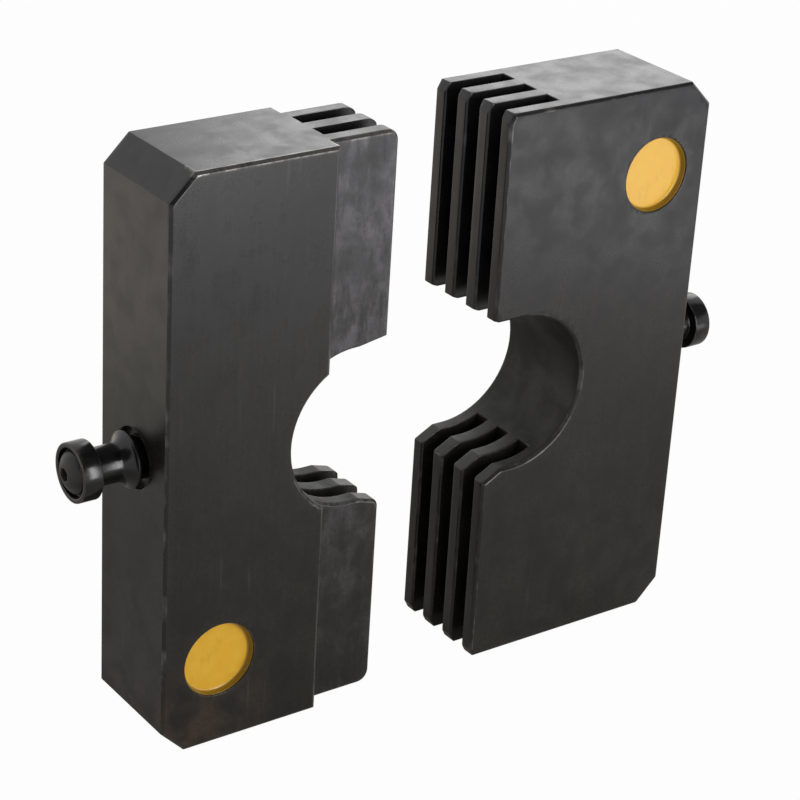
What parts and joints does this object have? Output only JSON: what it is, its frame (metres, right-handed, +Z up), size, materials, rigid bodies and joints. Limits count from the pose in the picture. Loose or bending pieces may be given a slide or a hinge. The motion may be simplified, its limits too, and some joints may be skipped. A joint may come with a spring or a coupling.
{
  "type": "crimp die",
  "caption": "Pair of interlocking comb crimp die halves with a round bore and a shouldered retaining stud on each back face.",
  "frame": {"origin": "on the floor, midway between the finger tips of the two drawn-apart halves and on the middle plane of the fingers", "axes": "+X from the inner half (three fingers) to the outer half (four fingers), the closing direction; +Y along the bore, away from the faces with the markers; +Z up"},
  "size_m": [0.098, 0.0156, 0.076],
  "materials": {
    "blackened_steel": "black oxide on ground tool steel, satin",
    "stud_steel": "black oxide on turned steel, semi-gloss",
    "screw_steel": "black oxide, satin",
    "yellow_marker": "yellow marker compound, semi-gloss"
  },
  "bodies": {
    "inner_half": {"inner_die": "blackened_steel", "inner_stud": "stud_steel", "inner_stud_screw": "screw_steel", "inner_marker": "yellow_marker"},
    "outer_half": {"outer_die": "blackened_steel", "outer_stud": "stud_steel", "outer_stud_screw": "screw_steel", "outer_marker": "yellow_marker"}
  },
  "joints": [
    {"name": "die_close", "type": "slide", "parent": "inner_half", "child": "outer_half", "axis": [-1, 0, 0], "range_m": [0, 0.0235]}
  ]
}
